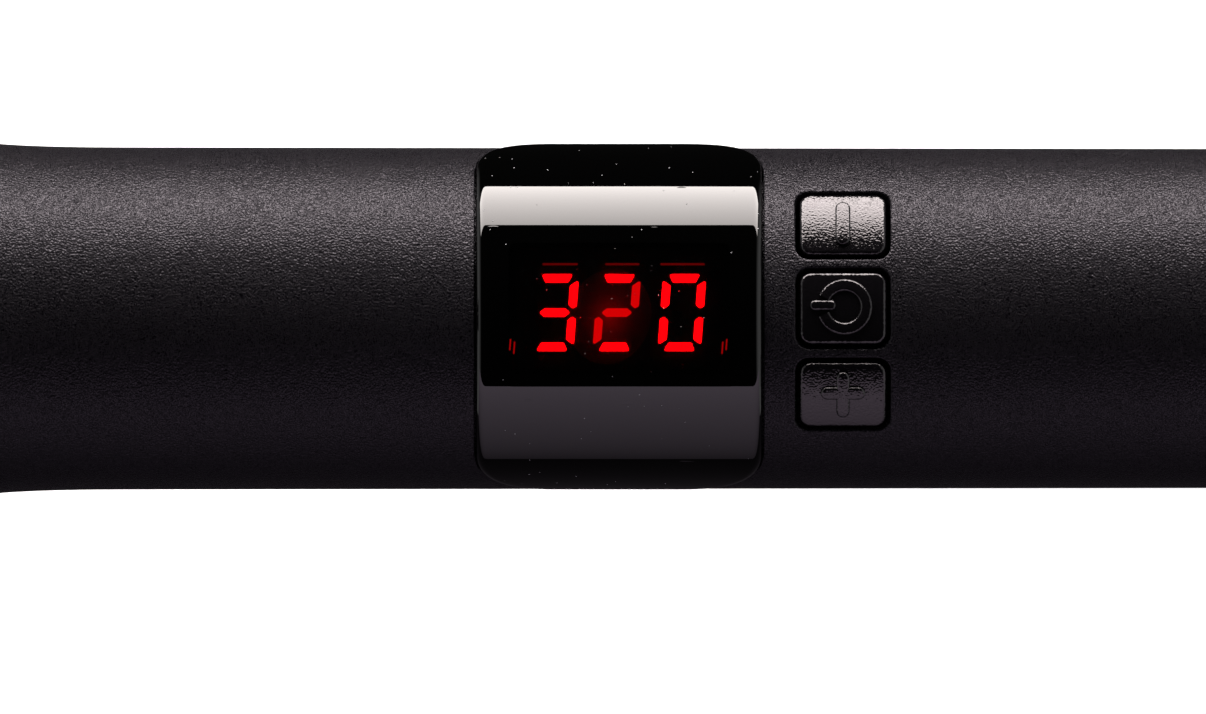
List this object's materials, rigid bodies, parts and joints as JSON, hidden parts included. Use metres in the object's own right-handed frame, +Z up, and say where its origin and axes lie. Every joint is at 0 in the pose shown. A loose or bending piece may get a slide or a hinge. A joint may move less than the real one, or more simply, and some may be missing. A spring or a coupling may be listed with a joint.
{
  "type": "curling iron",
  "caption": "Heated styling barrel with a sprung clamp and thumb lever on a round handle with a digital temperature display, keys, a swivel cord gland and a folding rest",
  "frame": {"origin": "the middle of the footprint, on the table that the iron rests on", "axes": "+X towards the cool tip, +Z up, on the side that the display faces; the barrel points 6.5 degrees up from +X, because the iron lies on its handle and its folded-out stand"},
  "size_m": [0.3628, 0.0378, 0.0669],
  "materials": {
    "grip": "fine-grained satin black",
    "lens": "polished smoked black",
    "key": "semi-gloss with a coarse moulded texture",
    "led": "dark red display face",
    "board": "green solder mask",
    "component": "moulded black",
    "capacitor": "yellow box film",
    "ceramic": "unglazed off-white",
    "heat_plastic": "satin heat-resistant black",
    "coated_barrel": "dark ceramic-coated satin",
    "steel": "bright",
    "brass": "polished contact",
    "aluminium": "extruded",
    "red_lead": "insulated lead",
    "white_lead": "glass-braided lead",
    "silicone": "matt silicone"
  },
  "bodies": {
    "iron_body": {"upper_shell": "grip", "lower_shell": "grip", "display_lens": "lens", "led_display": "led", "control_board": "board", "triac": "component", "microcontroller": "component", "electrolytic_capacitor": "component", "film_capacitor": "capacitor", "fuse": "ceramic", "heater_plate": "ceramic", "thermistor": "ceramic", "front_collar": "heat_plastic", "cool_tip": "heat_plastic", "barrel": "coated_barrel", "minus_switch": "steel", "power_switch": "steel", "plus_switch": "steel", "handle_screw_1": "steel", "handle_screw_2": "steel", "handle_screw_3": "steel", "board_screw_1": "steel", "board_screw_2": "steel", "tip_screw": "steel", "heater_spring": "steel", "hinge_band": "steel", "hinge_pin": "steel", "band_rivet_1": "steel", "band_rivet_2": "steel", "clamp_spring": "steel", "brush_live": "brass", "brush_neutral": "brass", "heat_spreader_upper": "aluminium", "heat_spreader_lower": "aluminium", "thermal_fuse": "aluminium", "live_lead": "red_lead", "neutral_lead": "white_lead", "heater_lead_a": "white_lead", "heater_lead_b": "white_lead", "sensor_lead": "white_lead"},
    "clamp": {"clamp_plate": "coated_barrel", "clamp_bracket": "steel", "clamp_rivet_1": "steel", "clamp_rivet_2": "steel", "thumb_lever": "heat_plastic", "lever_screw": "steel"},
    "stand": {"stand_wire": "steel", "stand_sleeve": "silicone"},
    "cord_gland": {"swivel_gland": "heat_plastic", "slip_ring_live": "brass", "slip_ring_neutral": "brass"},
    "minus_button": {"minus_key": "key", "minus_plunger": "component"},
    "power_button": {"power_key": "key", "power_plunger": "component"},
    "plus_button": {"plus_key": "key", "plus_plunger": "component"}
  },
  "joints": [
    {"name": "clamp_hinge", "type": "hinge", "parent": "iron_body", "child": "clamp", "pos_m": [0.01182, 0, 0.05465], "axis": [0, -1, 0], "range_deg": [0, 18], "stiffness_Nm_per_rad": 0.3, "springref_deg": -22.92, "deforming": ["clamp_spring"]},
    {"name": "stand_hinge", "type": "hinge", "parent": "iron_body", "child": "stand", "pos_m": [0.01935, 0, 0.03276], "axis": [0, -1, 0], "range_deg": [0, 80]},
    {"name": "gland_swivel", "type": "hinge", "parent": "iron_body", "child": "cord_gland", "pos_m": [-0.16094, 0, 0.01624], "axis": [0.9936, 0, 0.1132], "continuous": true},
    {"name": "minus_press", "type": "slide", "parent": "iron_body", "child": "minus_button", "axis": [0.1132, 0, -0.9936], "range_m": [0, 0.0005], "stiffness_N_per_m": 800, "springref_m": -0.0005},
    {"name": "power_press", "type": "slide", "parent": "iron_body", "child": "power_button", "axis": [0.1132, 0, -0.9936], "range_m": [0, 0.0005], "stiffness_N_per_m": 800, "springref_m": -0.0005},
    {"name": "plus_press", "type": "slide", "parent": "iron_body", "child": "plus_button", "axis": [0.1132, 0, -0.9936], "range_m": [0, 0.0005], "stiffness_N_per_m": 800, "springref_m": -0.0005}
  ]
}
